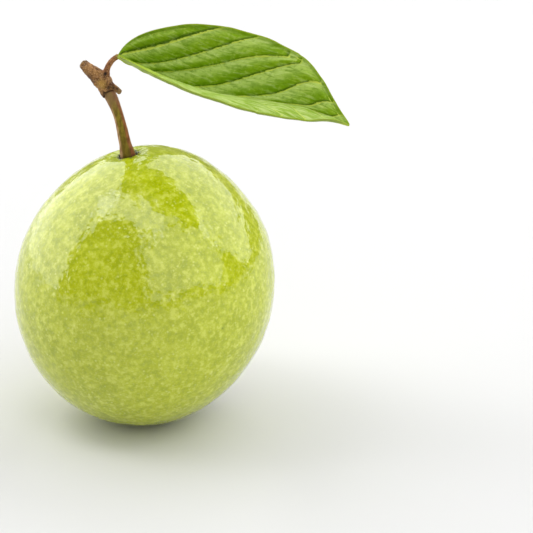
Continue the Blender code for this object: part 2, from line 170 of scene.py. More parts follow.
class Nodes:
    """Short way to write a node material."""

    def __init__(self, name):
        self.material = bpy.data.materials.new(name)
        self.material.use_nodes = True
        self.tree = self.material.node_tree
        self.shader = self.tree.nodes["Principled BSDF"]
        self.place = self.add("ShaderNodeTexCoord").outputs["Object"]

    def add(self, kind, **settings):
        node = self.tree.nodes.new(kind)
        for key, value in settings.items():
            setattr(node, key, value)
        return node

    def put(self, socket, value):
        if isinstance(value, bpy.types.NodeSocket):
            self.tree.links.new(value, socket)
        else:
            socket.default_value = value

    def noise(self, size_mm, detail=2.0, rough=0.5, vector=None, distort=0.0):
        node = self.add("ShaderNodeTexNoise")
        self.put(node.inputs["Vector"], vector or self.place)
        node.inputs["Scale"].default_value = 1000.0 / size_mm
        node.inputs["Detail"].default_value = detail
        node.inputs["Roughness"].default_value = rough
        node.inputs["Distortion"].default_value = distort
        return node.outputs["Fac"]

    def cells(self, size_mm):
        """Distance from the nearest of many scattered points, as a share of their spacing."""
        node = self.add("ShaderNodeTexVoronoi")
        self.put(node.inputs["Vector"], self.place)
        node.inputs["Scale"].default_value = 1000.0 / size_mm
        return node.outputs["Distance"]

    def math(self, operation, one, two):
        node = self.add("ShaderNodeMath", operation=operation)
        self.put(node.inputs[0], one)
        self.put(node.inputs[1], two)
        return node.outputs[0]

    def plus(self, one, two):
        return self.math("ADD", one, two)

    def times(self, one, two):
        return self.math("MULTIPLY", one, two)

    def range(self, value, low, high, to_low=0.0, to_high=1.0):
        node = self.add("ShaderNodeMapRange", interpolation_type="SMOOTHSTEP")
        self.put(node.inputs["Value"], value)
        node.inputs["From Min"].default_value = low
        node.inputs["From Max"].default_value = high
        node.inputs["To Min"].default_value = to_low
        node.inputs["To Max"].default_value = to_high
        return node.outputs["Result"]

    def mix(self, factor, one, two):
        node = self.add("ShaderNodeMix", data_type="RGBA")
        self.put(node.inputs[0], factor)
        self.put(node.inputs[6], one)
        self.put(node.inputs[7], two)
        return node.outputs[2]

    def attr(self, name):
        return self.add("ShaderNodeAttribute", attribute_name=name).outputs["Fac"]

    def stretch(self, x, y, z):
        node = self.add("ShaderNodeMapping")
        self.put(node.inputs["Vector"], self.place)
        node.inputs["Scale"].default_value = (x, y, z)
        return node.outputs["Vector"]

    def bump(self, height, distance_mm, strength):
        node = self.add("ShaderNodeBump")
        node.inputs["Strength"].default_value = strength
        node.inputs["Distance"].default_value = distance_mm * MM
        self.put(node.inputs["Height"], height)
        return node.outputs["Normal"]

    def set(self, **values):
        for key, value in values.items():
            self.put(self.shader.inputs[SHADER_SOCKETS[key]], value)
        return self.material


def srgb(r, g, b):
    def linear(v):
        v /= 255.0
        return v / 12.92 if v <= 0.04045 else ((v + 0.055) / 1.055) ** 2.4
    return (linear(r), linear(g), linear(b), 1.0)


# fruit

FRUIT_RADIUS = 44.75
FRUIT_HALF_HEIGHT = 49.0
FRUIT_CENTRE = np.array((2.05, 0.0, 48.35))
FRUIT_LEAN = 0.043
TOP_NARROWING = 0.052
SKIN_WAVE = 0.35
STALK_TILT = (-0.174, 0.033)
CALYX_ANGLE = math.radians(35.0)
CALYX_HEADING = math.radians(40.0)
SOCKET_RADIUS = 3.5
SOCKET_DEPTH = 2.0
DIMPLE_DEPTH = 0.9
DIMPLE_RADIUS = 8.5
BASIN_DEPTH = 3.2
BASIN_INNER = 2.5
BASIN_OUTER = 14.5
GAP = 0.36
CALYX_AXIS = (math.sin(CALYX_HEADING), -math.cos(CALYX_HEADING), 0.0)
SKIN_AROUND = 440
SKIN_ROWS = 232
SOCKET_RINGS = (0.9, 1.8, 2.6, 3.2, 3.49)
DIMPLE_RINGS = (3.51, 3.55, 3.61, 3.7, 3.85, 4.0, 4.2, 4.5, 4.85, 5.25, 5.7,
                6.1, 6.6, 7.1, 7.6, 8.15, 8.7, 9.3, 9.9)
FIRST_ROW_REACH = 10.5
LAST_ROW_REACH = 1.2


def paired(theta, phi):
    """Both angles as arrays of one length."""
    theta = np.atleast_1d(np.asarray(theta, dtype=float))
    phi = np.atleast_1d(np.asarray(phi, dtype=float))
    return np.broadcast_arrays(theta, phi)


def plain_surface(theta, phi):
    """Skin without its dimple and basin. theta runs from the stalk's pole to the calyx's pole."""
    theta, phi = paired(theta, phi)
    direction = np.stack([np.sin(theta) * np.cos(phi), np.sin(theta) * np.sin(phi), np.cos(theta)], axis=-1)
    stalk_axis = np.cross((0.0, 0.0, 1.0), (STALK_TILT[0], STALK_TILT[1], 1.0))
    stalk_angle = math.asin(math.hypot(*STALK_TILT))
    direction = turned(direction, stalk_axis, stalk_angle * (1.0 - smooth(0.0, 1.9, theta)))
    direction = turned(direction, CALYX_AXIS, CALYX_ANGLE * smooth(1.0, math.pi, theta))
    narrow = 1.0 - TOP_NARROWING * smooth(0.3, 0.95, direction[:, 2])
    swell = SKIN_WAVE * wave(direction, 0.62, 3.1) + 0.4 * SKIN_WAVE * wave(direction, 0.27, 7.7)
    x = FRUIT_RADIUS * narrow * direction[:, 0] + FRUIT_LEAN * FRUIT_HALF_HEIGHT * direction[:, 2]
    y = FRUIT_RADIUS * narrow * direction[:, 1]
    z = FRUIT_HALF_HEIGHT * direction[:, 2]
    shape = np.stack([x, y, z], axis=-1)
    return FRUIT_CENTRE + shape + swell[:, None] * unit(shape)


def surface_normal(theta, phi):
    theta, phi = paired(theta, phi)
    step = 0.01
    along = plain_surface(theta + step, phi) - plain_surface(theta - step, phi)
    across = plain_surface(theta, phi + step) - plain_surface(theta, phi - step)
    result = unit(np.cross(along, across))
    middle = plain_surface(theta, phi) - FRUIT_CENTRE
    return np.where((result * middle).sum(-1, keepdims=True) > 0.0, result, -result)


def pole_normal(theta):
    """Way out of the skin at a pole, where phi has no direction."""
    step = 0.02
    ring = plain_surface(np.full(4, abs(theta - step)), np.arange(4) * 0.5 * math.pi)
    result = unit(np.cross(ring[2] - ring[0], ring[3] - ring[1]))
    middle = plain_surface(theta, 0.0)[0] - FRUIT_CENTRE
    return result if result @ middle > 0.0 else -result


STALK_POLE = plain_surface(0.0, 0.0)[0]
STALK_OUT = pole_normal(0.0)
CALYX_OUT = pole_normal(math.pi)


def dimple(reach, phi, points):
    """Depth of the hollow round the stalk, with its radial folds and cracks."""
    hollow = DIMPLE_DEPTH * (1.0 - smooth(SOCKET_RADIUS, DIMPLE_RADIUS, reach))
    fold = np.cos(9.0 * phi + 2.2 * np.sin(2.0 * phi + 0.6))
    fade = smooth(SOCKET_RADIUS, 4.4, reach) * (1.0 - smooth(4.8, 8.2, reach))
    fine = 0.10 * wave(points, 0.9, 2.0) * (1.0 - smooth(3.6, 5.5, reach))
    crack = np.abs(np.sin(11.0 * phi + 1.3 * np.sin(3.0 * phi) + 0.25 * reach))
    crack = 0.16 * (1.0 - smooth(0.0, 0.35, crack))
    crack = crack * smooth(3.4, 3.9, reach) * (1.0 - smooth(5.0, 9.0, reach))
    return hollow + 0.22 * fade * fold + fine + crack


def basin(reach):
    return BASIN_DEPTH * (1.0 - smooth(BASIN_INNER, BASIN_OUTER, reach))


def fruit_surface(theta, phi):
    theta, phi = paired(theta, phi)
    points = plain_surface(theta, phi)
    top = FRUIT_RADIUS * theta
    near = top < DIMPLE_RADIUS + 2.0
    if near.any():
        points[near] -= dimple(top[near], phi[near], points[near])[:, None] * STALK_OUT
    low = FRUIT_RADIUS * (math.pi - theta)
    under = low < BASIN_OUTER
    points[under] -= basin(low[under])[:, None] * CALYX_OUT
    return points


SKIN_GREEN = (0.425, 0.490, 0.0006, 1.0)
SKIN_YELLOW_GREEN = (0.465, 0.530, 0.0015, 1.0)
SKIN_PALE = (0.58, 0.65, 0.035, 1.0)
SKIN_DEEP = (0.30, 0.38, 0.0005, 1.0)
SKIN_MOTTLE = (0.68, 0.74, 0.10, 1.0)
SKIN_GRAIN = (0.72, 0.78, 0.15, 1.0)
SKIN_DOT = (0.76, 0.82, 0.2, 1.0)
SKIN_SPECK = (0.17, 0.23, 0.002, 1.0)
SKIN_TOP = (0.33, 0.44, 0.002, 1.0)
SKIN_SHADE = (0.13, 0.18, 0.002, 1.0)
# painted shade: near-black inside the socket and round its rim, where the stalk sits in the hollow
SOCKET_SHADE = (0.020, 0.024, 0.005, 1.0)
SOCKET_CRUMB = (0.16, 0.20, 0.06, 1.0)
# painted shade: darker skin towards the calyx end at the bottom
SKIN_UNDERSIDE_SHADE = (0.27, 0.32, 0.0008, 1.0)
SKIN_BASIN = (0.22, 0.31, 0.01, 1.0)


def fruit_material():
    n = Nodes("skin_look")
    stalk = n.attr("stalk_reach")
    calyx = n.attr("calyx_reach")
    broad = n.noise(30.0, 1.0, 0.5)
    mottle = n.noise(6.5, 2.0, 0.5)
    small = n.noise(2.1, 3.0, 0.6)
    fine = n.noise(0.8, 2.0, 0.6)
    colour = n.mix(n.range(broad, 0.35, 0.65), SKIN_GREEN, SKIN_YELLOW_GREEN)
    colour = n.mix(n.range(mottle, 0.40, 0.72, 0.0, 0.6), colour, SKIN_PALE)
    colour = n.mix(n.range(small, 0.52, 0.34, 0.0, 0.55), colour, SKIN_DEEP)
    colour = n.mix(n.range(small, 0.5, 0.68, 0.0, 0.75), colour, SKIN_MOTTLE)
    colour = n.mix(n.range(fine, 0.5, 0.7, 0.0, 0.3), colour, SKIN_GRAIN)
    dot = n.range(n.cells(1.7), 0.10, 0.34, 1.0, 0.0)
    keep = n.range(n.noise(2.6, 0.0), 0.42, 0.6)
    colour = n.mix(n.times(n.times(dot, keep), 0.55), colour, SKIN_DOT)
    speck = n.range(n.cells(8.0), 0.03, 0.085, 1.0, 0.0)
    keep = n.range(n.noise(15.0, 0.0), 0.45, 0.55)
    colour = n.mix(n.times(n.times(speck, keep), 0.6), colour, SKIN_SPECK)
    colour = n.mix(n.range(stalk, 4.5, 20.0, 0.4, 0.0), colour, SKIN_TOP)
    ragged = n.plus(stalk, n.times(n.math("SUBTRACT", n.noise(0.9, 2.0, 0.6), 0.5), 2.2))
    # painted shade in the socket round the stalk, ragged at its rim, with lighter crumbs in it
    ring = n.range(ragged, 3.5, 4.1, 1.0, 0.0)
    colour = n.mix(n.range(ragged, 4.0, 5.6, 0.5, 0.0), colour, SKIN_SHADE)
    colour = n.mix(ring, colour, SOCKET_SHADE)
    crumbs = n.times(ring, n.range(n.noise(0.42, 1.0), 0.60, 0.68))
    colour = n.mix(crumbs, colour, SOCKET_CRUMB)
    # painted shade: skin darker towards the calyx end at the bottom
    colour = n.mix(n.range(calyx, 4.0, 46.0, 0.55, 0.0), colour, SKIN_UNDERSIDE_SHADE)
    colour = n.mix(n.range(calyx, 4.0, 14.0, 0.6, 0.0), colour, SKIN_BASIN)
    pit = n.range(n.cells(1.3), 0.0, 0.62, 0.0, 1.0)
    swell = n.noise(2.3, 1.0, 0.5)
    height = n.plus(n.times(swell, 0.95), n.times(pit, 0.16))
    height = n.plus(height, n.times(fine, 0.10))
    normal = n.bump(height, 0.2, 0.7)
    rough = n.math("MAXIMUM", n.range(mottle, 0.3, 0.7, 0.05, 0.08), n.times(ring, 0.85))
    return n.set(color=colour, roughness=rough, specular=0.75, ior=1.5, normal=normal,
                 subsurface=0.08, radius=(1.0, 0.9, 0.25), subsurface_scale=0.0015)


def build_fruit():
    phi = circle(SKIN_AROUND)
    socket_floor = (DIMPLE_DEPTH + SOCKET_DEPTH) * STALK_OUT
    rings = [plain_surface(reach / FRUIT_RADIUS, phi) - socket_floor for reach in SOCKET_RINGS]
    for reach in DIMPLE_RINGS:
        sink = 0.5 * (1.0 - smooth(DIMPLE_RINGS[0], 3.9, reach))
        rings.append(fruit_surface(reach / FRUIT_RADIUS, phi) - sink * STALK_OUT)
    thetas = [reach / FRUIT_RADIUS for reach in SOCKET_RINGS + DIMPLE_RINGS]
    start = FIRST_ROW_REACH / FRUIT_RADIUS
    end = math.pi - LAST_ROW_REACH / FRUIT_RADIUS
    for row in range(SKIN_ROWS + 1):
        theta = start + (end - start) * row / SKIN_ROWS
        thetas.append(theta)
        rings.append(fruit_surface(theta, phi))
    mesh, points = ring_mesh("guava_skin", rings, STALK_POLE - socket_floor, fruit_surface(math.pi, 0.0)[0])
    theta = np.concatenate([np.repeat(thetas, SKIN_AROUND), [0.0, math.pi]])
    stalk = FRUIT_RADIUS * theta
    calyx = FRUIT_RADIUS * (math.pi - theta)
    ease = smooth(3.6, 9.0, stalk) * (0.25 + 0.75 * smooth(3.0, 16.0, calyx))
    relief = 0.15 * wave(points, 9.0, 0.7) + 0.11 * wave(points, 4.4, 5.3) + 0.06 * wave(points, 2.2, 9.1)
    moved = points + (ease * relief)[:, None] * normals_of(mesh)
    moved[:, 2] = np.maximum(moved[:, 2], 0.0)
    mesh.vertices.foreach_set("co", (moved * MM).ravel())
    attribute(mesh, "stalk_reach", stalk)
    attribute(mesh, "calyx_reach", calyx)
    mesh.update()
    place(mesh, "guava_skin", fruit_material(), "fruit", "skin")


# swept woody pieces

# Rings that close a tube's end, as shares of the last ring's width and of its height, and the tip's height
TUBE_ENDS = {
    "flat": (((0.96, 0.03), (0.6, 0.05)), 0.05),
    "round": (((0.97, 0.16), (0.87, 0.36), (0.7, 0.54), (0.48, 0.66), (0.24, 0.72)), 0.74),
    "hollow": (((0.88, 0.04), (0.74, 0.02), (0.60, -0.18), (0.44, -0.46), (0.22, -0.56)), -0.58),
}


def end_rings(kind, ring, middle, out):
    steps, tip = TUBE_ENDS[kind]
    spread = ring - middle
    size = np.linalg.norm(spread, axis=1).mean()
    return [middle + wide * spread + high * size * out for wide, high in steps], middle + tip * size * out


def sweep(name, knots, radius, around, along, relief, ends):
    """Tube along a curve. radius and relief take the share along it; relief also the angles and points."""
    parts = np.linspace(0.0, 1.0, along + 1)
    points = through(knots, parts)
    ahead = unit(np.gradient(points, axis=0))
    side = unit(np.cross((0.0, 1.0, 0.0), ahead[0]))
    angles = circle(around)
    rings = []
    for index, part in enumerate(parts):
        side = unit(side - (side @ ahead[index]) * ahead[index])
        other = np.cross(ahead[index], side)
        spokes = np.cos(angles)[:, None] * side + np.sin(angles)[:, None] * other
        ring = points[index] + radius(part) * spokes
        rings.append(ring + relief(part, angles, ring)[:, None] * spokes)
    first, tip_first = end_rings(ends[0], rings[0], points[0], -ahead[0])
    final, tip_final = end_rings(ends[1], rings[-1], points[-1], ahead[-1])
    shares = [0.0] * len(first) + list(parts) + [1.0] * len(final)
    mesh, _ = ring_mesh(name, first[::-1] + rings + final, tip_first, tip_final)
    attribute(mesh, "share", np.concatenate([np.repeat(shares, around), [0.0, 1.0]]))
    mesh.update()
    return mesh


SEAT = STALK_POLE - (DIMPLE_DEPTH + SOCKET_DEPTH - GAP) * STALK_OUT
STALK_PATH = (
    SEAT,
    STALK_POLE - 0.2 * STALK_OUT,
    (-4.1, 1.5, 100.9),
    (-5.2, 1.5, 106.8),
    (-6.8, 1.5, 112.6),
    (-9.1, 1.5, 118.2),
)
STALK_BASE_RADIUS = 2.96
STALK_WAIST_RADIUS = 1.72
STALK_TOP_RADIUS = 2.15
STALK_RIDGES = (-33.0, -150.0, 38.0, 142.0)
STALK_AROUND = 96


def stalk_radius(part):
    foot = STALK_BASE_RADIUS * (1.0 - 0.12 * smooth(0.0, 0.17, part))
    foot -= (0.88 * STALK_BASE_RADIUS - 2.0) * smooth(0.17, 0.38, part)
    waist = (2.0 - STALK_WAIST_RADIUS) * smooth(0.38, 0.68, part)
    head = (STALK_TOP_RADIUS - STALK_WAIST_RADIUS) * smooth(0.7, 1.0, part)
    return float(foot - waist + head)


def bark_relief(depth, ridges, grain, shift):
    """Relief for sweep: long ridges of a depth, and grain of a height."""
    def relief(part, angles, ring):
        drift = 0.8 * math.sin(5.0 * part + shift)
        ridge = depth * np.cos(ridges * angles + drift + 1.6 * np.sin(2.0 * angles + shift))
        low = ring * np.array((1.0, 1.0, 0.35))
        return ridge + grain * wave(low, 0.55, shift) + 0.8 * grain * wave(ring, 1.7, shift + 3.0)
    return relief


def stalk_ridge(angles, wide):
    """Height from 0 to 1 of the four long ridges that make the young stalk square."""
    total = np.zeros(len(angles))
    for ridge in STALK_RIDGES:
        away = np.angle(np.exp(1j * (angles - math.radians(ridge))))
        total = np.maximum(total, np.exp(-(away / wide) ** 2))
    return total


def stalk_middle(height):
    """Where the middle of the stalk stands at a height, along X."""
    knots = through(STALK_PATH, np.linspace(0.0, 1.0, 60))
    return np.interp(height, knots[:, 2], knots[:, 0])


def stalk_relief(part, angles, ring):
    low = ring * np.array((1.0, 1.0, 0.3))
    square = 0.16 * stalk_ridge(angles, 0.3) * smooth(0.1, 0.3, part) - 0.04
    return square + 0.05 * wave(low, 0.5, 1.3) + 0.05 * wave(ring, 1.9, 4.3)


def stalk_material():
    n = Nodes("stalk_look")
    long_grain = n.stretch(1.0, 1.0, 0.3)
    streak = n.noise(0.9, 4.0, 0.6, long_grain)
    blotch = n.noise(4.0, 3.0, 0.6)
    fine = n.noise(0.32, 3.0, 0.65)
    share = n.attr("share")
    ridge = n.plus(n.attr("ridge"), n.times(n.math("SUBTRACT", blotch, 0.5), 0.5))
    colour = n.mix(n.range(streak, 0.36, 0.64), srgb(112, 92, 8), srgb(150, 130, 34))
    colour = n.mix(n.range(fine, 0.42, 0.28, 0.0, 0.55), colour, srgb(76, 56, 6))
    colour = n.mix(n.range(fine, 0.58, 0.72, 0.0, 0.5), colour, srgb(186, 168, 88))
    colour = n.mix(n.range(share, 0.62, 0.2, 0.0, 0.5), colour, srgb(104, 82, 4))
    # painted light and shade: the ridges get a paler tan copy on the left side, which faces the light, and a
    # darker red-brown copy on the right
    red_shaded_side = n.mix(n.range(streak, 0.38, 0.62), srgb(116, 62, 30), srgb(164, 100, 56))
    tan_highlight = n.mix(n.range(streak, 0.38, 0.62), srgb(156, 112, 72), srgb(206, 166, 124))
    side = n.mix(n.attr("painted_lit_side"), red_shaded_side, tan_highlight)
    colour = n.mix(n.range(ridge, 0.3, 0.75, 0.0, 0.9), colour, side)
    colour = n.mix(n.range(share, 0.70, 0.97, 0.0, 0.7), colour, srgb(150, 112, 78))
    # painted shade: darker foot where the stalk sinks into the socket
    colour = n.mix(n.range(share, 0.19, 0.09, 0.0, 0.7), colour, srgb(66, 46, 8))
    edge = n.times(n.range(share, 0.972, 0.99), n.range(blotch, 0.48, 0.6, 0.0, 0.8))
    colour = n.mix(edge, colour, srgb(50, 32, 20))
    height = n.plus(streak, n.times(fine, 0.6))
    return n.set(color=colour, roughness=0.6, specular=0.3, normal=n.bump(height, 0.22, 0.8))


def build_stalk():
    mesh = sweep("guava_stalk", STALK_PATH, stalk_radius, STALK_AROUND, 120, stalk_relief, ("flat", "flat"))
    rings = (len(mesh.vertices) - 2) // STALK_AROUND
    ridge = np.tile(stalk_ridge(circle(STALK_AROUND), 0.55), rings)
    attribute(mesh, "ridge", np.concatenate([ridge, [0.0, 0.0]]))
    points = coordinates(mesh)
    # painted light: marks the stalk's left side, which faces the light, for the paler ridge colour
    attribute(mesh, "painted_lit_side", 1.0 - smooth(-0.6, 0.6, points[:, 0] - stalk_middle(points[:, 2])))
    place(mesh, "guava_stalk", stalk_material(), "fruit_stalk", "stalk")


# twig with the leaf's petiole

JOINT_GAP = 0.34
JOINT_AHEAD = unit(np.array(STALK_PATH[-1]) - through(STALK_PATH, 0.95)[0])
JOINT = np.array(STALK_PATH[-1]) + JOINT_GAP * JOINT_AHEAD
STUB_RADIUS = 1.55
TWIG_PATH = (JOINT, (-10.5, 1.5, 121.1), (-12.85, 1.3, 123.6), (-15.2, 0.6, 125.9), (-17.2, -0.5, 128.3))
PETIOLE_PATH = (
    (-11.0, 1.2, 122.2),
    (-10.1, 1.2, 123.8),
    (-9.5, 1.2, 125.5),
    (-8.75, 1.35, 127.3),
    (-7.5, 1.6, 128.9),
    (-5.75, 2.0, 130.1),
)
SPUR_TIP = np.array((-5.3, -0.2, 118.4))
SPUR_PATH = ((-9.8, 0.6, 121.4), (-7.9, 0.1, 120.6), (-6.5, -0.1, 119.5), SPUR_TIP)
SPUR_AHEAD = unit(np.array((1.0, -0.1, -0.75)))
FLAP_PATH = ((-11.6, 0.7, 120.9), (-11.6, 0.2, 119.4), (-11.1, -0.2, 117.9), (-10.5, -0.4, 116.6))
BUD_PATH = ((-12.1, 0.6, 121.9), (-12.8, 0.2, 121.5), (-13.3, 0.0, 121.0))
# painted shade in the crease where the petiole leaves the twig
AXIL = (-9.9, -0.6, 124.9)
SCAR = (-8.6, -1.2, 119.9)
# painted shade in the hollow of the bract
SPUR_GROOVE = (-7.3, -0.8, 120.0)
# painted highlight: a paler tan spot on the node's left front
HIGHLIGHT_SPOT = (-11.2, -1.5, 121.6)
TWIG_VOXEL = 0.11


def twig_radius(part):
    swell = STALK_TOP_RADIUS + 0.1 + 0.7 * smooth(0.0, 0.26, part)
    taper = float(clamp((part - 0.34) / 0.66, 0.0, 1.0))
    return float(swell - (swell - STUB_RADIUS + 0.05) * taper ** 0.9)


def petiole_radius(part):
    return float(1.0 + 1.15 * (1.0 - smooth(0.0, 0.5, part)) - 0.12 * smooth(0.45, 1.0, part))


def spur_radius(part):
    return float(0.95 + 0.3 * (1.0 - smooth(0.0, 0.5, part)))


def flap_radius(part):
    return float(0.9 - 0.5 * smooth(0.1, 1.0, part))


def bud_radius(part):
    return 1.35 - 0.5 * part


def merged(name, meshes, voxel, soften):
    """One closed mesh round several overlapping ones, with softened joins."""
    bm = bmesh.new()
    for mesh in meshes:
        bm.from_mesh(mesh)
    whole = bpy.data.meshes.new(name + "_raw")
    bm.to_mesh(whole)
    bm.free()
    raw = bpy.data.objects.new(name + "_raw", whole)
    bpy.context.scene.collection.objects.link(raw)
    remesh = raw.modifiers.new("remesh", "REMESH")
    remesh.mode = "VOXEL"
    remesh.voxel_size = voxel * MM
    relax = raw.modifiers.new("relax", "SMOOTH")
    relax.factor = 0.5
    relax.iterations = soften
    ready = raw.evaluated_get(bpy.context.evaluated_depsgraph_get())
    result = bpy.data.meshes.new_from_object(ready)
    result.name = name
    bpy.data.objects.remove(raw)
    bpy.data.meshes.remove(whole)
    for mesh in meshes:
        bpy.data.meshes.remove(mesh)
    outward(result)
    return result


def measured(points, tip, ahead):
    """Distances past a tip along its way, and aside from it."""
    along = (points - tip) @ ahead
    return along, np.linalg.norm(points - tip - along[:, None] * ahead, axis=1)


def near_point(points, centre, low, high):
    """One close to a point and none further than high from it."""
    return 1.0 - smooth(low, high, np.linalg.norm(points - np.array(centre), axis=1))


def bark_material():
    n = Nodes("bark_look")
    streak = n.noise(1.2, 4.0, 0.65)
    blotch = n.noise(4.5, 3.0, 0.6)
    fine = n.noise(0.34, 3.0, 0.65)
    cut = n.attr("cut")
    petiole = n.attr("petiole")
    tan_highlight = n.attr("tan_highlight")
    dark_marks_and_shade = n.attr("dark_marks_and_shade")
    colour = n.mix(n.range(streak, 0.36, 0.64), srgb(88, 50, 22), srgb(176, 128, 74))
    colour = n.mix(n.range(blotch, 0.5, 0.66, 0.0, 0.65), colour, srgb(192, 146, 96))
    colour = n.mix(n.range(blotch, 0.38, 0.46, 0.6, 0.0), colour, srgb(84, 46, 28))
    # painted highlight on the node's left front
    colour = n.mix(n.times(tan_highlight, 0.75), colour, srgb(190, 148, 68))
    stem = n.mix(n.range(streak, 0.35, 0.65), srgb(116, 66, 32), srgb(184, 130, 78))
    colour = n.mix(petiole, colour, stem)
    colour = n.mix(n.attr("fresh"), colour, srgb(152, 132, 44))
    colour = n.mix(n.range(fine, 0.45, 0.32, 0.0, 0.9), colour, srgb(40, 20, 10))
    colour = n.mix(n.range(fine, 0.56, 0.70, 0.0, 0.7), colour, srgb(230, 192, 150))
    wood = n.mix(n.range(fine, 0.35, 0.65), srgb(140, 98, 52), srgb(206, 174, 118))
    colour = n.mix(cut, colour, wood)
    # real dark marks, with painted shade in the axil and in the bract's hollow
    colour = n.mix(dark_marks_and_shade, colour, srgb(30, 17, 10))
    height = n.plus(streak, n.plus(n.times(fine, 0.5), n.times(blotch, 0.8)))
    return n.set(color=colour, roughness=0.65, specular=0.3, normal=n.bump(height, 0.34, 0.9))


def build_twig():
    both_round = ("round", "round")
    mesh = merged("guava_twig", [
        sweep("node", TWIG_PATH, twig_radius, 80, 90, bark_relief(0.08, 4, 0.13, 4.4), ("flat", "hollow")),
        sweep("petiole", PETIOLE_PATH, petiole_radius, 48, 70, bark_relief(0.03, 3, 0.05, 2.2), both_round),
        sweep("bract", SPUR_PATH, spur_radius, 40, 30, bark_relief(0.05, 3, 0.08, 5.1), both_round),
        sweep("flap", FLAP_PATH, flap_radius, 32, 30, bark_relief(0.08, 3, 0.1, 6.3), both_round),
        sweep("bud", BUD_PATH, bud_radius, 32, 16, bark_relief(0.08, 3, 0.1, 8.2), both_round),
    ], TWIG_VOXEL, 3)
    points = coordinates(mesh)
    x, height = points[:, 0], points[:, 2]
    tip = np.array(TWIG_PATH[-1])
    along, aside = measured(points, tip, unit(tip - through(TWIG_PATH, 0.97)[0]))
    deep, beside = measured(points, SPUR_TIP, SPUR_AHEAD)
    stub_cut = smooth(-0.45, -0.1, along) * (1.0 - smooth(1.05, 1.3, aside))
    spur_cut = 0.7 * smooth(-1.6, -0.4, deep) * (1.0 - smooth(0.9, 1.2, beside)) * (x > -7.0)
    stub_pith = smooth(-0.8, -0.4, along) * (1.0 - smooth(0.55, 0.8, aside))
    spur_pith = smooth(-0.9, -0.5, deep) * (1.0 - smooth(0.35, 0.55, beside))
    bark_ring = np.exp(-((aside - 1.3) / 0.22) ** 2) * smooth(-0.7, -0.2, along)
    # painted shade in the axil crease and the bract's hollow; the pith, bark ring, scar and seam are real
    # dark marks
    axil = near_point(points, AXIL, 0.45, 1.15)
    scar = near_point(points, SCAR, 0.4, 1.2)
    groove = near_point(points, SPUR_GROOVE, 0.3, 0.9)
    patch = 1.0 - smooth(0.4, 1.4, np.abs(x + 9.7))
    seam = (1.0 - smooth(0.12, 0.5, (points - JOINT) @ JOINT_AHEAD)) * (0.25 + 0.6 * patch)
    pith = np.maximum(stub_pith, spur_pith)
    dark_marks_and_shade = np.maximum.reduce([0.9 * pith, 0.6 * bark_ring, axil, 0.8 * scar, 0.75 * groove, seam])
    stem = smooth(123.6, 125.6, height + 0.75 * (x + 9.8)) * (x > -11.0)
    attribute(mesh, "cut", np.maximum(stub_cut, spur_cut))
    attribute(mesh, "dark_marks_and_shade", np.clip(dark_marks_and_shade, 0.0, 1.0))
    attribute(mesh, "petiole", stem)
    attribute(mesh, "fresh", 0.6 * smooth(129.0, 130.2, height) * smooth(-7.2, -6.0, x))
    # painted highlight spot on the node
    attribute(mesh, "tan_highlight", near_point(points, HIGHLIGHT_SPOT, 0.5, 2.4))
    mesh.update()
    place(mesh, "guava_twig", bark_material(), "twig", "bark")


# leaf: along runs from the petiole to the tip, across from the midrib to the margin, below 0 on the near half

MIDRIB = (
    (-5.6, 2.0, 130.2),
    (9.9, -6.2, 125.0),
    (25.6, -14.8, 122.65),
    (41.1, -23.6, 123.15),
    (56.2, -32.8, 123.55),
    (70.3, -42.0, 120.9),
)
LEAF_LENGTH = 92.0
VEIN_LENGTH_UNIT = 90.0  # the round leaf length that the distance to a side vein is measured with
LEAF_HALF_WIDTH = 22.65
LEAF_NECK = 0.85
LEAF_TIP = 0.35
LEAF_ROWS = 321
LEAF_HALF_COLUMNS = 56
VEIN_STARTS = (-0.02, 0.05, 0.12, 0.29, 0.47, 0.70, 0.87, 1.1)
LOOP_FROM_RIM = 1.5
STREAK_ANGLE = math.radians(2.0)
FINE_VEIN_SPACING = 2.6


def leaf_half_width(along):
    inside = clamp(along, 0.0, 1.0)
    body = inside ** 0.6 * (1.0 - inside) ** 0.815 / 0.381
    body = body * (1.0 - 0.505 * smooth(0.705, 1.0, inside))
    return LEAF_NECK * (1.0 - inside) + LEAF_TIP * inside + (LEAF_HALF_WIDTH - 0.6) * body


def half_width(along, across):
    """Width of the half of the blade that a point lies on."""
    near_share = 0.45 + 0.55 * smooth(0.0, 0.2, along)
    return leaf_half_width(along) * np.where(across < 0.0, near_share, 1.0)


def far_rise(along, away):
    """Angle above the level at which the far half stands up."""
    return np.radians(46.0 + 33.0 * (1.0 - along) ** 1.06) - math.radians(8.0) * (away - 0.5)


def near_rise(along, away):
    rise = np.radians(31.1 - 0.7 * along - 41.8 * along ** 2 + 43.6 * smooth(0.859, 1.0, along))
    return rise - math.radians(4.0) * (away - 0.5)


def vein_along(start, across):
    """Share of the length where a side vein that leaves the midrib at start is this far across."""
    room = 0.25 - 0.2 * smooth(0.25, 0.55, start)
    rise = 0.38 * smooth(0.08, 0.36, start) * (1.0 - np.exp(-across / room))
    lean = 0.40 + 0.36 * smooth(-0.02, 0.15, start) - 0.44 * smooth(0.10, 0.33, start)
    bow = 1.7 - 0.65 * smooth(-0.03, 0.06, start)
    return start + (1.0 - start) * (rise + lean * across ** bow)


def vein_place(along, across):
    """Counts up by one from each side vein to the next."""
    low = np.full(np.shape(along), -0.6)
    high = np.ones(np.shape(along))
    inner = np.minimum(across, 0.85 + 0.15 * smooth(0.64, 0.5, along))
    for _ in range(24):
        middle = 0.5 * (low + high)
        short = vein_along(middle, inner) < along
        low = np.where(short, middle, low)
        high = np.where(short, high, middle)
    count = np.interp(low, VEIN_STARTS, np.arange(1.0, len(VEIN_STARTS) + 1.0))
    return count - 0.5 * smooth(VEIN_STARTS[0], VEIN_STARTS[0] - 0.25, low)


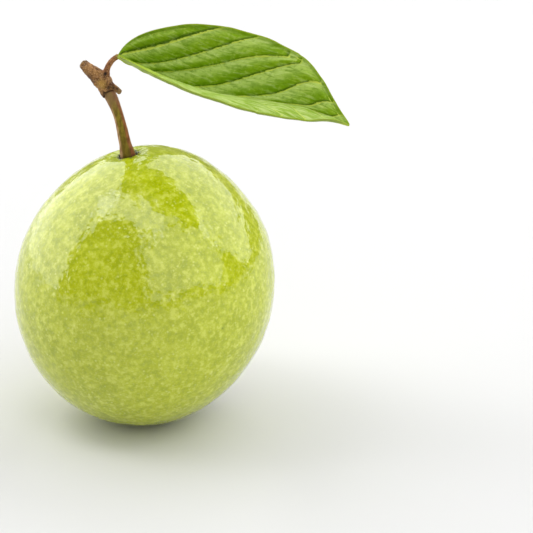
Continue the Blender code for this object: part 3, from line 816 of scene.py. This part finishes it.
def leaf_surface(along, across):
    middle = through(MIDRIB, along)
    before = np.maximum(along - 0.01, 0.0)
    after = np.minimum(along + 0.01, 1.0)
    ahead = unit(through(MIDRIB, after) - through(MIDRIB, before))
    side = unit(np.cross(np.broadcast_to((0.0, 0.0, 1.0), ahead.shape), ahead))
    upward = np.cross(ahead, side)
    away = np.abs(across)
    far = far_rise(along, away)[:, None]
    near = near_rise(along, away)[:, None]
    spoke = np.where((across >= 0.0)[:, None], np.cos(far) * side + np.sin(far) * upward,
                     -np.cos(near) * side + np.sin(near) * upward)
    edge = 0.1 * smooth(0.75, 1.0, away) * np.sin(2.0 * math.pi * vein_place(along, away))
    edge = edge * smooth(0.05, 0.2, along) * (1.0 - smooth(0.8, 0.97, along))
    return middle + (half_width(along, across) * away)[:, None] * spoke + edge[:, None] * upward


def vein_distance(along, away, step, width):
    """Distance in millimetres to the nearest side vein, from how fast the veins are passed there."""
    here = vein_place(along, away)
    by_length = (vein_place(along + 0.004, away) - here) / (0.004 * VEIN_LENGTH_UNIT)
    by_width = (vein_place(along, away + 0.01) - here) / (0.01 * np.maximum(width, 1.0))
    return np.minimum(step, 1.0 - step) / np.maximum(np.hypot(by_length, by_width), 0.05)


def leaf_fields(along, across):
    """What the relief and the colours of the blade go by, with distances in millimetres."""
    away = np.abs(across)
    far = across >= 0.0
    place_now = vein_place(along, away) + np.where(far, 0.0, 0.45)
    step = place_now - np.floor(place_now)
    width = half_width(along, across)
    to_mid = away * width
    to_rim = (1.0 - away) * width
    between = np.abs(np.sin(math.pi * step ** 1.35)) * smooth(LOOP_FROM_RIM, 3.8, to_rim)
    to_loop = np.abs(to_rim - LOOP_FROM_RIM) + 0.14
    to_vein = vein_distance(along, away, step, width)
    to_vein = np.where(far & (along > 0.02), np.minimum(to_vein, to_loop), to_vein)
    fade = smooth(0.0, 0.07, away) * smooth(0.1, 1.3, to_rim) * smooth(0.0, 0.06, along)
    fade = fade * (1.0 - smooth(0.93, 1.0, along))
    return step, between, to_vein, fade, to_mid, to_rim


LEAF_DEEP = (0.150, 0.285, 0.001, 1.0)
LEAF_GREEN = (0.195, 0.335, 0.003, 1.0)
# painted light: paler green on the part of each quilted panel that faces the light
LEAF_LIT = (0.40, 0.54, 0.115, 1.0)
VEIN_SHADOW = (0.035, 0.085, 0.0004, 1.0)
STREAK_DARK = (0.095, 0.195, 0.001, 1.0)
STREAK_LIGHT = (0.48, 0.61, 0.18, 1.0)
GRAIN_DARK = (0.10, 0.20, 0.001, 1.0)
GRAIN_LIGHT = (0.42, 0.54, 0.10, 1.0)
# near-half streak colours, paler as painted light on that half
NEAR_DARK = (0.25, 0.40, 0.030, 1.0)
NEAR_LIGHT = (0.50, 0.62, 0.20, 1.0)
FINE_VEIN = (0.42, 0.54, 0.08, 1.0)
VEIN_LINE = (0.56, 0.66, 0.09, 1.0)
MIDRIB_GREEN = (0.44, 0.56, 0.045, 1.0)
BASE_GREEN = (0.34, 0.47, 0.02, 1.0)
RIM_SHADE = (0.14, 0.26, 0.001, 1.0)
RIM_LINE = (0.28, 0.35, 0.003, 1.0)
UNDER_GREEN = (0.30, 0.40, 0.08, 1.0)
UNDER_VEIN = (0.46, 0.55, 0.15, 1.0)
UNDER_DARK = (0.24, 0.34, 0.05, 1.0)
UNDER_FINE_VEIN = (0.42, 0.51, 0.13, 1.0)
UNDER_MIDRIB = (0.50, 0.60, 0.08, 1.0)


def leaf_material():
    n = Nodes("leaf_look")
    vein = n.attr("vein_mm")
    mid = n.attr("mid_mm")
    rim = n.attr("rim_mm")
    step = n.attr("step")
    cross = n.attr("cross_vein")
    under = n.attr("under")
    near_half_lit = n.attr("near_half_lit")
    base_end = n.attr("base_end")
    flow = n.add("ShaderNodeCombineXYZ")
    n.put(flow.inputs[0], n.times(n.attr("flow_along"), 0.16))
    n.put(flow.inputs[1], n.attr("flow_across"))
    n.put(flow.inputs[2], n.times(near_half_lit, 7.0))
    streak = n.noise(1000.0, 2.0, 0.55, flow.outputs[0], 0.4)
    blotch = n.noise(9.0, 3.0, 0.55)
    small = n.noise(1.3, 3.0, 0.6)
    fine = n.noise(0.5, 2.0, 0.6)
    # painted light: each panel is paler just below its vein, where it faces the light, and the streaks are
    # stronger there too
    lit_band = n.range(step, 0.0, 0.75, 1.0, 0.0)
    colour = n.mix(n.range(blotch, 0.35, 0.65), LEAF_DEEP, LEAF_GREEN)
    colour = n.mix(n.times(lit_band, 0.85), colour, LEAF_LIT)
    colour = n.mix(n.range(step, 0.87, 0.97, 0.0, 0.85), colour, VEIN_SHADOW)
    gain = n.plus(n.times(lit_band, 0.3), 0.35)
    colour = n.mix(n.times(n.range(streak, 0.5, 0.34), gain), colour, STREAK_DARK)
    colour = n.mix(n.times(n.range(streak, 0.5, 0.72), gain), colour, STREAK_LIGHT)
    colour = n.mix(n.range(small, 0.5, 0.32, 0.0, 0.4), colour, GRAIN_DARK)
    colour = n.mix(n.range(small, 0.54, 0.72, 0.0, 0.35), colour, GRAIN_LIGHT)
    # painted light: the near half, which faces up towards the light, gets a paler streaked green
    strip = n.mix(n.range(streak, 0.36, 0.64), NEAR_DARK, NEAR_LIGHT)
    colour = n.mix(n.times(near_half_lit, 0.75), colour, strip)
    colour = n.mix(n.range(cross, 0.5, 1.0, 0.0, 0.35), colour, FINE_VEIN)
    toothed = n.plus(vein, n.times(n.math("SUBTRACT", streak, 0.5), 0.9))
    colour = n.mix(n.range(toothed, 0.08, 0.24, 0.85, 0.0), colour, VEIN_LINE)
    colour = n.mix(n.range(mid, 0.55, 1.15, 0.8, 0.0), colour, MIDRIB_GREEN)
    colour = n.mix(n.times(base_end, 0.75), colour, BASE_GREEN)
    colour = n.mix(n.range(rim, 0.7, 1.5, 0.4, 0.0), colour, RIM_SHADE)
    colour = n.mix(n.range(rim, 0.15, 0.5, 0.8, 0.0), colour, RIM_LINE)
    lower = n.mix(n.range(vein, 0.2, 0.7, 0.7, 0.0), UNDER_GREEN, UNDER_VEIN)
    lower = n.mix(n.range(streak, 0.35, 0.65, 0.0, 0.4), lower, UNDER_DARK)
    lower = n.mix(n.range(cross, 0.5, 1.0, 0.0, 0.4), lower, UNDER_FINE_VEIN)
    lower = n.mix(n.range(mid, 1.4, 2.6, 0.9, 0.0), lower, UNDER_MIDRIB)
    colour = n.mix(under, colour, lower)
    height = n.plus(n.times(cross, -0.4), n.times(streak, 1.3))
    height = n.plus(height, n.times(small, 0.7))
    height = n.plus(height, n.times(fine, 0.3))
    return n.set(color=colour, roughness=n.range(blotch, 0.3, 0.7, 0.46, 0.56), specular=0.08,
                 normal=n.bump(height, 0.22, 0.8))


def leaf_grid():
    """Places along and across of the blade's points, row by row."""
    lines = np.linspace(0.0, 1.0, LEAF_HALF_COLUMNS + 1) ** 1.15
    lines = np.concatenate([-lines[:0:-1], lines])
    share = np.linspace(0.0, 1.0, LEAF_ROWS)
    share = share - 0.035 * np.sin(2.0 * math.pi * share)
    grid_share, grid_across = np.meshgrid(share, lines, indexing="ij")
    slant = 0.9 * grid_share * (1.0 - grid_share) * (0.5 * np.abs(grid_across))
    return clamp(grid_share + slant, 0.0, 1.0).ravel(), grid_across.ravel(), len(lines)


def blade_faces(rows, columns):
    """Faces of two layers of points, one over the other, and of the rim between them."""
    count = rows * columns
    row = np.arange(rows - 1)[:, None]
    column = np.arange(columns - 1)[None, :]
    one = (row * columns + column).ravel()
    quad = np.stack([one, one + columns, one + columns + 1, one + 1], axis=-1)
    faces = [tuple(face) for face in quad.tolist()]
    faces += [tuple(face) for face in (quad[:, ::-1] + count).tolist()]
    rim = list(range(columns - 1))
    rim += [k * columns + columns - 1 for k in range(rows - 1)]
    rim += [count - columns + k for k in range(columns - 1, 0, -1)]
    rim += [k * columns for k in range(rows - 1, 0, -1)]
    for one, two in zip(rim, rim[1:] + rim[:1]):
        faces.append((one, two, two + count, one + count))
    return faces


def build_leaf():
    along, across, columns = leaf_grid()
    base = leaf_surface(along, across)
    shaped = base.reshape(LEAF_ROWS, columns, 3)
    normal = unit(np.cross(np.gradient(shaped, axis=0), np.gradient(shaped, axis=1))).reshape(-1, 3)
    normal = np.where(normal[:, 2:3] < 0.0, -normal, normal)
    step, between, to_vein, fade, to_mid, to_rim = leaf_fields(along, across)
    forward = LEAF_LENGTH * along
    flow_along = forward * math.cos(STREAK_ANGLE) - to_mid * math.sin(STREAK_ANGLE)
    flow_across = forward * math.sin(STREAK_ANGLE) + to_mid * math.cos(STREAK_ANGLE)
    rung = flow_across / FINE_VEIN_SPACING + 0.35 * wave(base, 5.0, 1.7)
    cross = 1.0 - smooth(0.02, 0.14, np.abs(rung - np.round(rung)))
    cross = cross * smooth(0.0, 0.3, fade) * smooth(0.0, 0.25, between)
    cross = cross * (0.25 + 0.75 * smooth(-0.25, 0.2, wave(base, 3.0, 8.0)))
    quilt = fade * (between ** 0.6 - 0.62) * np.where(across >= 0.0, 1.0, 0.5)
    relief = quilt + 0.09 * wave(base, 2.6, 6.0) * fade - 0.05 * cross
    rib = np.exp(-(to_mid / 1.1) ** 2) * (1.0 - 0.75 * along)
    thin = 0.2 * smooth(0.0, 0.8, to_rim) + 0.1
    side_rib = 0.3 * fade * (1.0 - smooth(0.0, 0.22, between))
    middle = base + relief[:, None] * normal
    top = middle + (thin + 0.12 * rib)[:, None] * normal
    low = middle - (thin + 0.6 * rib + side_rib)[:, None] * normal
    mesh = new_mesh("guava_leaf", np.vstack([top, low]), blade_faces(LEAF_ROWS, columns))
    fields = {
        "vein_mm": to_vein + 1.5 * (1.0 - smooth(0.0, 0.12, fade)),
        "mid_mm": to_mid + 0.75 * along,
        "rim_mm": to_rim,
        "step": np.where(fade > 0.02, step, 0.5),
        "cross_vein": cross,
        "flow_along": flow_along,
        "flow_across": flow_across,
        # painted light: marks the near half for its paler colour
        "near_half_lit": np.where(across < 0.0, smooth(0.0, 0.10, -across), 0.0),
        "base_end": np.where(across < 0.03, 1.0 - smooth(0.20, 0.34, along), 0.0),
    }
    for name, values in fields.items():
        attribute(mesh, name, np.concatenate([values, values]))
    attribute(mesh, "under", np.repeat([0.0, 1.0], len(along)))
    place(mesh, "guava_leaf", leaf_material(), "leaf", "leaf")


# calyx and dry disc

CALYX_HOLE = 2.9
RING_RADIUS = 5.4
LOBE_REACH = 11.6
LOBE_COUNT = 5
LOBE_THICKNESS = 1.9
DISC_RADIUS = 2.35
STYLE_RADIUS = 0.55
STYLE_HEIGHT = 2.1


def calyx_material():
    n = Nodes("calyx_look")
    reach = n.attr("reach")
    blotch = n.noise(3.5, 4.0, 0.6)
    fine = n.noise(0.5, 3.0, 0.6)
    colour = n.mix(n.range(blotch, 0.35, 0.65), srgb(104, 116, 40), srgb(142, 150, 66))
    colour = n.mix(n.range(reach, 0.75, 1.0, 0.0, 0.75), colour, srgb(120, 88, 44))
    colour = n.mix(n.range(reach, 0.2, 0.0, 0.0, 0.8), colour, srgb(92, 66, 36))
    colour = n.mix(n.range(fine, 0.58, 0.72, 0.0, 0.5), colour, srgb(176, 170, 110))
    height = n.plus(fine, n.times(blotch, 0.6))
    return n.set(color=colour, roughness=0.6, specular=0.35, normal=n.bump(height, 0.25, 0.7))


def build_calyx():
    around = 300
    phi = circle(around)
    swing = 0.09 * np.sin(2.0 * phi + 0.7)
    wedge = np.abs(np.cos(0.5 * LOBE_COUNT * (phi + swing)))
    reach_out = LOBE_REACH * (1.0 + 0.05 * np.sin(3.0 * phi + 1.1))
    outline = RING_RADIUS + (reach_out - RING_RADIUS) * wedge ** 0.62
    lobe = np.cos(LOBE_COUNT * (phi + swing))
    shares = np.linspace(0.0, 1.0, 25)
    under = []
    over = []
    for share in shares:
        reach = CALYX_HOLE + share * (outline - CALYX_HOLE)
        theta = math.pi - reach / FRUIT_RADIUS
        skin = fruit_surface(theta, phi)
        out = unit(surface_normal(theta, phi) + 0.6 * CALYX_OUT)
        groove = 0.13 * np.cos(6.0 * LOBE_COUNT * phi) * smooth(0.3, 0.6, share)
        curl = 0.7 * smooth(0.55, 1.0, share) * smooth(-0.2, 0.9, lobe)
        body = LOBE_THICKNESS * (1.0 - 0.45 * share) + 0.35 * (1.0 - smooth(0.0, 0.25, share)) + groove
        body = body + 0.10 * wave(skin, 1.4, 2.5)
        rounding = min(share, 1.0 - share)
        edge = 0.32 * (1.0 - smooth(0.0, 0.09, rounding))
        low = GAP + curl + 0.6 * edge
        under.append(skin + low[:, None] * out)
        over.append(skin + (low + body - 1.6 * edge)[:, None] * out)
    rings = under + over[::-1]
    faces = []
    for row in range(len(rings)):
        base = row * around
        other = (row + 1) % len(rings) * around
        for k in range(around):
            beside = (k + 1) % around
            faces.append((base + k, base + beside, other + beside, other + k))
    mesh = new_mesh("guava_calyx", np.array(rings).reshape(-1, 3), faces)
    attribute(mesh, "reach", np.concatenate([np.repeat(shares, around), np.repeat(shares[::-1], around)]))
    place(mesh, "guava_calyx", calyx_material(), "calyx", "calyx")


def disc_profile():
    """Reach and height of the disc's outline, from its underside over its rim to the style's tip."""
    style_top = GAP + STYLE_HEIGHT
    knots = ((0.5 * DISC_RADIUS, GAP + 0.05), (0.93 * DISC_RADIUS, GAP + 0.1), (DISC_RADIUS, GAP + 0.35),
             (DISC_RADIUS, GAP + 1.0), (0.88 * DISC_RADIUS, GAP + 1.3), (0.62 * DISC_RADIUS, GAP + 1.05),
             (1.3 * STYLE_RADIUS, GAP + 0.95), (STYLE_RADIUS, GAP + 1.15), (0.85 * STYLE_RADIUS, style_top),
             (0.5 * STYLE_RADIUS, style_top + 0.15))
    return through([(reach, height, 0.0) for reach, height in knots], np.linspace(0.0, 1.0, 60))


def disc_material():
    n = Nodes("dry_disc_look")
    streak = n.noise(0.6, 4.0, 0.6)
    colour = n.mix(n.range(streak, 0.35, 0.65), srgb(58, 38, 22), srgb(128, 94, 58))
    return n.set(color=colour, roughness=0.85, specular=0.2, normal=n.bump(streak, 0.3, 0.8))


def build_disc():
    phi = circle(120)
    side = unit(np.cross(CALYX_OUT, (0.0, 0.0, 1.0)))
    other = np.cross(CALYX_OUT, side)
    spoke = np.cos(phi)[:, None] * side + np.sin(phi)[:, None] * other
    floor = fruit_surface(math.pi, 0.0)[0]
    rings = []
    for reach, height, _ in disc_profile():
        wide = reach * (1.0 + 0.04 * np.sin(5.0 * phi + 1.0) * (reach > 1.0))
        scars = 0.07 * np.cos(24.0 * phi) * smooth(0.55, 0.8, reach / DISC_RADIUS) * (height > 0.6)
        rings.append(floor + wide[:, None] * spoke + (height + scars)[:, None] * CALYX_OUT)
    start = floor + (GAP + 0.05) * CALYX_OUT
    mesh, _ = ring_mesh("dry_disc", rings, start, floor + (GAP + STYLE_HEIGHT + 0.18) * CALYX_OUT)
    place(mesh, "dry_disc", disc_material(), "floral_disc", "dry_flower")


# floor, light and camera

FLOOR_HALF_SIZE = 4.0
LAMP_TARGET = Vector((0.002, 0.0, 0.055))
WORLD_STRENGTH = 0.2
# Name, azimuth, elevation and roll in degrees, distance, width and height in metres, radiance
LAMPS = (
    ("left", -122.0, 25.0, 20.0, 1.1, 1.70, 1.75, 2.1),
    ("top_front", -46.0, 71.0, 12.0, 1.0, 1.10, 0.32, 2.2),
    ("right_front", 42.0, 34.0, 0.0, 1.15, 1.65, 1.25, 1.3),
    ("right_rear", 128.0, 38.0, 14.0, 1.15, 1.75, 1.20, 1.8),
)
PHOTO_SIDE = 533.0
METRES_PER_PIXEL = 0.0003448
FRUIT_PIXEL = (144.3, 285.0)
FRUIT_MIDDLE = Vector((0.0018, 0.0, 0.0484))
CAMERA_ELEVATION = math.radians(22.0)
CAMERA_DISTANCE = 0.9
SENSOR = 36.0


def build_floor():
    mesh = bpy.data.meshes.new("floor")
    side = FLOOR_HALF_SIZE
    mesh.from_pydata([(-side, -side, 0.0), (side, -side, 0.0), (side, side, 0.0), (-side, side, 0.0)],
                     [], [(0, 1, 2, 3)])
    n = Nodes("floor_look")
    shade = n.noise(400.0, 1.0)
    n.set(color=n.mix(shade, (0.70, 0.70, 0.70, 1.0), (0.72, 0.72, 0.72, 1.0)), roughness=0.6, specular=0.2)
    mesh.materials.append(n.material)
    floor = bpy.data.objects.new("floor", mesh)
    bpy.context.scene.collection.objects.link(floor)


def softbox(name, azimuth, elevation, roll, distance, width, height, radiance):
    """Rectangular lamp seen from the fruit at an azimuth (0 is the camera's side) and an elevation."""
    az = math.radians(azimuth)
    el = math.radians(elevation)
    way = Vector((math.sin(az) * math.cos(el), -math.cos(az) * math.cos(el), math.sin(el)))
    lamp = bpy.data.lights.new(name, "AREA")
    lamp.shape = "RECTANGLE"
    lamp.size = width
    lamp.size_y = height
    lamp.energy = radiance * width * height * math.pi
    body = bpy.data.objects.new(name, lamp)
    body.location = LAMP_TARGET + way * distance
    turn = Quaternion((0.0, 0.0, 1.0), math.radians(roll))
    body.rotation_euler = (way.to_track_quat("Z", "Y") @ turn).to_euler()
    bpy.context.scene.collection.objects.link(body)


def build_light():
    world = bpy.data.worlds.new("studio")
    bpy.context.scene.world = world
    world.use_nodes = True
    back = world.node_tree.nodes["Background"]
    back.inputs["Color"].default_value = (1.0, 1.0, 1.0, 1.0)
    back.inputs["Strength"].default_value = WORLD_STRENGTH
    for lamp in LAMPS:
        softbox(*lamp)


def build_camera():
    """Camera that puts the fruit's middle on its pixel in the photograph."""
    up = Vector((0.0, math.sin(CAMERA_ELEVATION), math.cos(CAMERA_ELEVATION)))
    forward = Vector((0.0, math.cos(CAMERA_ELEVATION), -math.sin(CAMERA_ELEVATION)))
    centre = 0.5 * PHOTO_SIDE
    right_shift = Vector((1.0, 0.0, 0.0)) * (centre - FRUIT_PIXEL[0]) * METRES_PER_PIXEL
    aim = FRUIT_MIDDLE + right_shift + up * (FRUIT_PIXEL[1] - centre) * METRES_PER_PIXEL
    data = bpy.data.cameras.new("camera")
    data.sensor_width = SENSOR
    data.lens = SENSOR * CAMERA_DISTANCE / METRES_PER_PIXEL / PHOTO_SIDE
    data.clip_start = 0.05
    data.clip_end = 20.0
    camera = bpy.data.objects.new("camera", data)
    camera.location = aim - forward * CAMERA_DISTANCE
    camera.rotation_euler = (math.radians(90.0) - CAMERA_ELEVATION, 0.0, 0.0)
    bpy.context.scene.collection.objects.link(camera)
    bpy.context.scene.camera = camera


build_camera()
build_fruit()
build_stalk()
build_twig()
build_leaf()
build_calyx()
build_disc()
build_floor()
build_light()
bpy.context.scene.view_settings.view_transform = "Standard"
